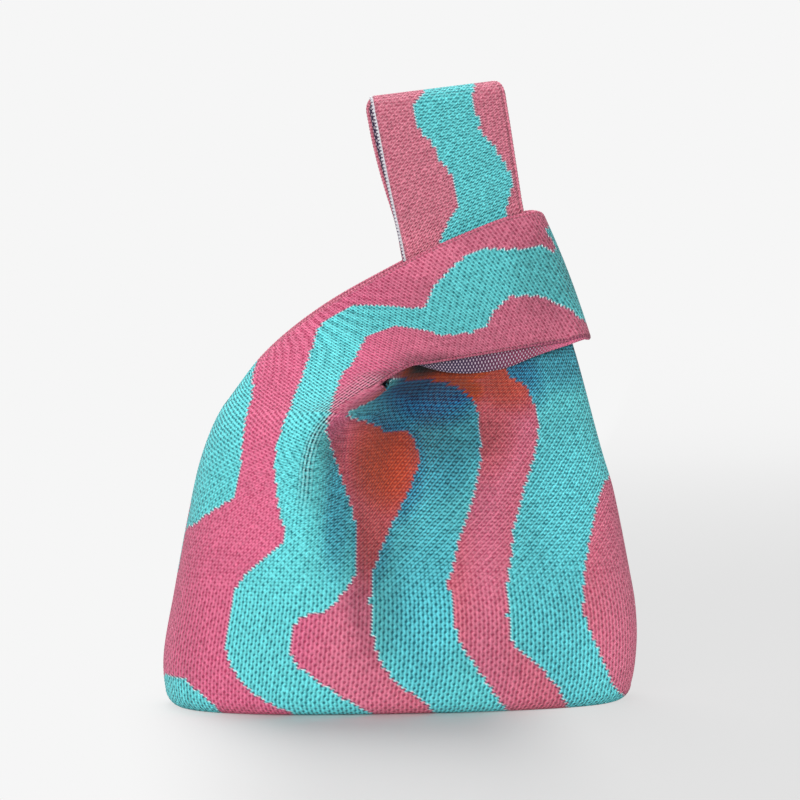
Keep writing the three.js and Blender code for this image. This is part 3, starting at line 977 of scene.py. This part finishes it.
def face_looks(rows):
    """Stitches of a face: leaning at the right, drawn aside at the left shoulder, ribbed near the base."""
    at = centres(rows)
    height = at[..., 2]
    left = smooth(RIDGE_LEFT, 0, at[..., 0] - ridge_line(height))
    drawn = left * smooth(DRAWN_START, SHOULDER, height)
    left_ribs = LEFT_RIBS * left * smooth(SHOULDER, LEFT_RIBS_FULL, height)
    ribs = np.maximum(smooth(BASE_RIBS_TOP, BASE_RIBS_FULL, height), left_ribs)
    left_lean = smooth(*LEFT_LEAN_RISE, height) * smooth(SHOULDER, DRAWN_START, height)
    lean = DRAWN_LEAN * mix(smooth(*RIGHT_LEAN_RISE, height), left_lean, left) * (1 - RIBBED_LEAN * ribs)
    slant = DRAWN_SLANT * left * smooth(SLANT_START, SHOULDER, height)
    return {"lean": lean + BAND_LEAN * drawn, "ribbed": drawn - ribs, "slant": slant,
            "slip": FACE_MIDDLE * slant, "faded": RIGHT_GREYER * (1 - left)}


def band_looks(rows):
    """Stitches of the band: drawn aside at the shoulder, slanting back at the loop's end, where the pink is
    greyer and painted shade darkens it.
    """
    toward_end = smooth(BAND_END_START, BAND_END_FULL, centres(rows)[..., 0])
    settled = smooth(0, BAND_SETTLE * BAND_COURSES, np.arange(len(rows) - 1)[:, None])
    slant = mix(DRAWN_SLANT, END_SLANT, settled)
    slip = FACE_MIDDLE * DRAWN_SLANT + BAND_MIDDLE * (slant - DRAWN_SLANT)
    return {"lean": BAND_LEAN, "ribbed": mix(1, END_RIBS, toward_end), "slant": slant, "slip": slip,
            "tone": BAND_END_PAINTED_SHADE * toward_end, "faded": RIGHT_GREYER * toward_end}


def face_piece(name, side):
    """One face with its leg of the short handle, knitted in one."""
    face, neck = face_grid(side), neck_grid(side)
    band = band_grid(side, face[-1][: LEFT_WALES + 1])
    on_face, on_band = face_looks(face), band_looks(band)
    on_neck = {"lean": DRAWN_LEAN, "faded": RIGHT_GREYER}
    # Only the front gets the painted shade, the painted light and shade, and the opened wales
    if side < 0:
        on_face.update(shade=painted_shade(face), tone=soft_tone(face), open=face_crest(face))
        on_neck.update(shade=painted_shade(neck), tone=soft_tone(neck))
        on_band.update(tone=soft_tone(band) + on_band["tone"], open=band_crest(band))
    colours = striped if side < 0 else back_striped
    rows = len(face) - 1
    cloth = Cloth(name)
    cloth.grid(face, side, colours(centres(face), FRONT_STRIPES), **on_face)
    cloth.grid(neck, side, colours(centres(neck), FRONT_STRIPES), keep=mouth_corner(neck),
               origin=(LEFT_WALES, rows), **on_neck)
    cloth.grid(band, side, colours(centres(band), BAND_STRIPES), origin=(0, rows), **on_band)
    obj = cloth.build(knit, wrong_side, knit)
    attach(obj, "bag_body")
    return obj, face, band


front, front_face, front_band = face_piece("front_knit", -1)
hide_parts("front_panel", "short_handle_front")
back, _, back_band = face_piece("back_knit", 1)
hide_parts("back_panel", "short_handle_back")

# Seams and hems, with the back's stripe that looks round the left seam, as heights
BACK_TURQUOISE = (68, 90)
BACK_PINK_TOP = 104
HEM_RADIUS = 0.9
HEM_LAP = 0.6
HEM_START, UPPER_HEM_START = 21, 6
DARK_HEM = 48
EDGE_WALES = 2
front_yarn = partial(striped, stripes=FRONT_STRIPES)
band_yarn = partial(striped, stripes=BAND_STRIPES)
loop_yarn = partial(striped, stripes=LOOP_STRIPES)


def on_seam(points):
    flat = np.array(points)
    flat[:, 1] = 0
    return flat


def seam_piece(name, line, yarn_of, radius=SEAM_RADIUS, body="bag_body", **looks):
    obj = cord(name, line, radius, [knit], yarn_of, **looks)
    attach(obj, body)
    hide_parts(name.replace("_yarn", ""))
    return obj


def left_seam_yarn(points):
    """Colour of the left seam, where a little of the back's stripe looks round it."""
    height = points[:, 2]
    back_pink = (height > BACK_TURQUOISE[1]) & (height < BACK_PINK_TOP)
    back_turquoise = (height > BACK_TURQUOISE[0]) & (height <= BACK_TURQUOISE[1])
    return (front_yarn(points) & ~back_pink) | back_turquoise


def edge_line(front_rows, back_rows, column, start):
    """Line just outside one edge of a handle: along the front, round the end and back."""
    lines = []
    inner = column + EDGE_WALES if column == 0 else column - EDGE_WALES
    for rows in (front_rows, back_rows):
        edge = rows[start:, column]
        outward = unit(edge - rows[start:, inner])
        lines.append(edge + outward * HEM_RADIUS * HEM_LAP)
    return np.concatenate([lines[0], lines[1][::-1]])


left_seam = seam_piece("left_side_seam_yarn", on_seam(front_face[:, 0]), yarn_of=left_seam_yarn)
right_seam = seam_piece("right_side_seam_yarn", on_seam(front_face[:, -1]), yarn_of=front_yarn)
base_seam = seam_piece("base_seam_yarn", on_seam(front_face[0]), yarn_of=front_yarn)
end_seam = seam_piece("short_handle_end_seam_yarn", on_seam(front_band[-1]), yarn_of=band_yarn)
# Painted shade darkens the lower hem under the band; the upper hem is drawn a little darker
hem_line = edge_line(front_band, back_band, LEFT_WALES, HEM_START)
lower_hem = seam_piece("short_handle_lower_hem_yarn", hem_line, yarn_of=band_yarn, radius=HEM_RADIUS,
                       dark_from=DARK_HEM, tone=-5.0, faded=0.5)
hem_line = edge_line(front_band, back_band, 0, UPPER_HEM_START)
upper_hem = seam_piece("short_handle_upper_hem_yarn", hem_line, yarn_of=band_yarn, radius=HEM_RADIUS,
                       tone=-1.0, faded=0.6)

# Long handle and carry loop
# Painted shade: the long handle and the loop drawn a little darker
STRAP_PAINTED_SHADE = -0.1
STRAP_LEAN = 0.42
STRAP_RIBS = 0.4


def strap_piece(name, rows, side, yarn):
    cloth = Cloth(name)
    tone = STRAP_PAINTED_SHADE + (soft_tone(rows) if side < 0 else 0.0)
    cloth.grid(rows, side, yarn, tone=tone, lean=STRAP_LEAN, ribbed=STRAP_RIBS, faded=1.0)
    return cloth.build(knit, wrong_side, knit)


loop_grids, straps = {}, {}
for label, side in (("front", -1), ("back", 1)):
    leg = np.array(leg_rows(side, 0, LEG_COURSES)[: round(LEG_COURSES * TUCK_START) + 1])
    leg_obj = strap_piece(f"long_handle_{label}_knit", leg, side, loop_yarn(centres(leg)))
    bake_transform(leg_obj)
    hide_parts(f"long_handle_{label}")
    tuck = leg_rows(side, TUCK_START, TUCK_COURSES)
    loop = np.array(tuck[:-1] + loop_rows(side))
    yarn = loop_yarn(centres(loop)) if side < 0 else back_striped(centres(loop), LOOP_STRIPES)
    loop_obj = strap_piece(f"carry_loop_{label}_knit", loop, side, yarn)
    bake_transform(loop_obj)
    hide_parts(f"carry_loop_{label}")
    loop_grids[label] = loop
    straps["leg", label], straps["loop", label] = leg_obj, loop_obj

# Facing turned in behind the band's lower hem, seen from below as a crescent
facing_drop = profile((-6, 0.3), (4, 1.5), (22, 8.5), (37, 11.5), (53, 11.5), (68, 8), (82, 5.4), (90, 4.4),
                      (98, 2.8))
FACING_START = HEM_START + 2
FACING_COURSES = 7
FACING_WALE = 1.75
FACING_LEAN = 0.12
FACING_INSET = 2.4
FACING_TURN_INSET, FACING_END_INSET = 5.4, 0.6
FACING_RISE = 1.5
FACING_PINK = (0.35, 0.8)
FACING_PLAIN = (0.68, 0.85)


def facing_line():
    """Line behind the front hem and round inside the loop's end, where it is drawn in."""
    hem = front_band[FACING_START:, -1]
    corner = front_band[BAND_COURSES, -1]
    turn = corner * np.array([1, 0, 1])
    past = np.arange(len(hem)) > BAND_COURSES - FACING_START
    inset = np.linspace(FACING_TURN_INSET, FACING_END_INSET, len(hem))
    inset = np.where(past, inset, FACING_INSET).clip(0, FACING_INSET)
    drawn_in = turn + (hem - turn) * (1 - inset[:, None] / np.abs(corner[1]))
    line = np.where(past[:, None], drawn_in, hem + np.array([0, FACING_INSET, 0]))
    return resample(line, round(paces(line)[-1] / FACING_WALE))


def facing_piece(name):
    line = facing_line()
    drop = facing_drop(line[:, 0])
    rows = []
    for share in np.linspace(1, 0, FACING_COURSES + 1):
        row = line.copy()
        row[:, 2] -= drop * share - FACING_RISE
        row[:, 1] -= FACING_LEAN * drop * share
        rows.append(row)
    across = np.linspace(0, 1, len(line) - 1)[None, :]
    one_yarn = np.zeros((FACING_COURSES, len(line) - 1), bool)
    cloth = Cloth(name)
    cloth.grid(rows, -1, one_yarn, shade=smooth(*FACING_PINK, across), open=smooth(*FACING_PLAIN, across))
    obj = cloth.build(wrong_side, wrong_side, wrong_side)
    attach(obj, "bag_body")
    return obj


facing = facing_piece("short_handle_facing_knit")

# Edges of the carry loop
SELVEDGE_RADIUS = 1.0
SELVEDGE_TUCK = 8
LOOP_EDGE_LOOKS = {"tone": STRAP_PAINTED_SHADE, "faded": 1.0}


def selvedge_piece(name, column, *materials):
    line = edge_line(loop_grids["front"], loop_grids["back"], column, TUCK_COURSES - SELVEDGE_TUCK)
    obj = cord(name, line, SELVEDGE_RADIUS, materials, loop_yarn, **LOOP_EDGE_LOOKS)
    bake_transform(obj)
    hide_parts(name.replace("_yarn", ""))
    return obj


top_seam = seam_piece("carry_loop_top_seam_yarn", on_seam(loop_grids["front"][-1]), yarn_of=loop_yarn,
                      body="carry_loop", **LOOP_EDGE_LOOKS)
left_selvedge = selvedge_piece("carry_loop_left_selvedge_yarn", 0, pale_edge, knit)
right_selvedge = selvedge_piece("carry_loop_right_selvedge_yarn", STRAP_WALES, knit)

bag_seams = [left_seam, right_seam, base_seam, end_seam, lower_hem, upper_hem]
for piece in [front, back, facing, *bag_seams, *straps.values()]:
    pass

# Floor in millimetres, its greys, and where the camera sees it as an even white, in metres
FLOOR_HALF_WIDTH = 4000
FLOOR_FRONT = -3000
SWEEP_START, SWEEP_RADIUS, SWEEP_STEPS = 1200, 1000, 11
BACKDROP_TOP = 4000
FLOOR_GREY, RIGHT_GREY, BACKDROP_WHITE = srgb(212, 212, 212), srgb(227, 227, 227), srgb(246, 246, 246)
WHITE_BEHIND, WHITE_AHEAD, WHITE_LEFT = (0.3, 1.6), (-0.35, -0.9), (-0.05, -0.15)
LEFT_TAPER = 0.35
RIGHT_START, RIGHT_FULL, RIGHT_SHARE = 0.02, 0.09, 0.85

# Lamps as place, target, size and power, and the light from all round
LAMPS = {
    "overhead": ((-0.05, 0.6, 1.4), (0, 0, 0.1), 1.0, 17),
    "front": ((-0.8, -1.85, 0.85), (0, 0, 0.14), 1.5, 27),
    "fill": ((1.1, -1.5, 0.6), (0.05, 0, 0.14), 0.9, 4),
}
WORLD_LIGHT = 0.34
SENSOR_WIDTH = 36


def floor_material():
    """A pale floor that keeps the shadow near the bag; farther off the camera sees an even white."""
    n = Nodes("pale_floor")
    n.finish(FLOOR_GREY, roughness=0.9, sheen=0.0)
    x, y = n.split(n.new("NewGeometry").outputs["Position"])
    far = n.maths("MAXIMUM", n.span(y, *WHITE_BEHIND), n.span(y, *WHITE_AHEAD))
    aside = n.ramp(n.maths("MAXIMUM", y, 0.0), -LEFT_TAPER, x)
    white = n.maths("MAXIMUM", far, n.span(aside, *WHITE_LEFT))
    right = n.times(n.span(x, RIGHT_START, RIGHT_FULL), RIGHT_SHARE)
    surface = glowing(n, n.shader.outputs[0], right, RIGHT_GREY)
    surface = glowing(n, surface, white, BACKDROP_WHITE)
    n.tree.links.new(surface, n.tree.nodes["Material Output"].inputs["Surface"])
    return n.material


def glowing(n, surface, share, colour):
    """A surface that the camera sees as an even grey, by a share."""
    glow = n.new("Emission", Color=colour)
    join = n.new("MixShader", Fac=n.times(share, n.new("LightPath").outputs["Is Camera Ray"]))
    n.feed(join.inputs[1], surface)
    n.feed(join.inputs[2], glow.outputs[0])
    return join.outputs[0]


def studio_floor():
    """A floor that sweeps up into the backdrop."""
    line = [(FLOOR_FRONT, 0)]
    for turn in np.linspace(0, math.pi / 2, SWEEP_STEPS + 1):
        line.append((SWEEP_START + SWEEP_RADIUS * math.sin(turn), SWEEP_RADIUS * (1 - math.cos(turn))))
    line.append((SWEEP_START + SWEEP_RADIUS, BACKDROP_TOP))
    points = [(x, y, z) for y, z in line for x in (-FLOOR_HALF_WIDTH, FLOOR_HALF_WIDTH)]
    faces = [(2 * i, 2 * i + 1, 2 * i + 3, 2 * i + 2) for i in range(len(line) - 1)]
    new_object("floor", points, faces, floor_material())


def soft_world():
    """Even light from all round; the camera sees it as the same white as the backdrop."""
    world = bpy.data.worlds.new("studio")
    world.use_nodes = True
    nodes, links = world.node_tree.nodes, world.node_tree.links
    light = nodes["Background"]
    light.inputs["Color"].default_value = (1, 1, 1, 1)
    light.inputs["Strength"].default_value = WORLD_LIGHT
    shown = nodes.new("ShaderNodeBackground")
    shown.inputs["Color"].default_value = BACKDROP_WHITE
    join = nodes.new("ShaderNodeMixShader")
    links.new(nodes.new("ShaderNodeLightPath").outputs["Is Camera Ray"], join.inputs[0])
    links.new(light.outputs[0], join.inputs[1])
    links.new(shown.outputs[0], join.inputs[2])
    links.new(join.outputs[0], nodes["World Output"].inputs["Surface"])
    bpy.context.scene.world = world


def staged(name, data, place, target):
    """A lamp or camera at a place, aimed at a target."""
    obj = bpy.data.objects.new(name, data)
    obj.location = place
    obj.rotation_euler = (Vector(target) - Vector(place)).to_track_quat("-Z", "Y").to_euler()
    bpy.context.scene.collection.objects.link(obj)
    return obj


def lamp(name, place, target, size, power):
    data = bpy.data.lights.new(name, "AREA")
    data.shape = "DISK"
    data.size = size
    data.energy = power
    staged(name, data, place, target)


def camera():
    data = bpy.data.cameras.new("camera")
    data.sensor_width = SENSOR_WIDTH
    data.lens = SENSOR_WIDTH * VIEW_DISTANCE / PICTURE_WIDTH
    height = VIEW_HEIGHT * METRE
    away = VIEW_DISTANCE * METRE
    flat = math.cos(VIEW_RISE) * away
    place = (-math.sin(VIEW_TURN) * flat, -math.cos(VIEW_TURN) * flat, height + math.sin(VIEW_RISE) * away)
    bpy.context.scene.camera = staged("camera", data, place, (0, 0, height))


studio_floor()
for name, setting in LAMPS.items():
    lamp(name, *setting)
soft_world()
camera()
bpy.context.scene.view_settings.view_transform = "Standard"
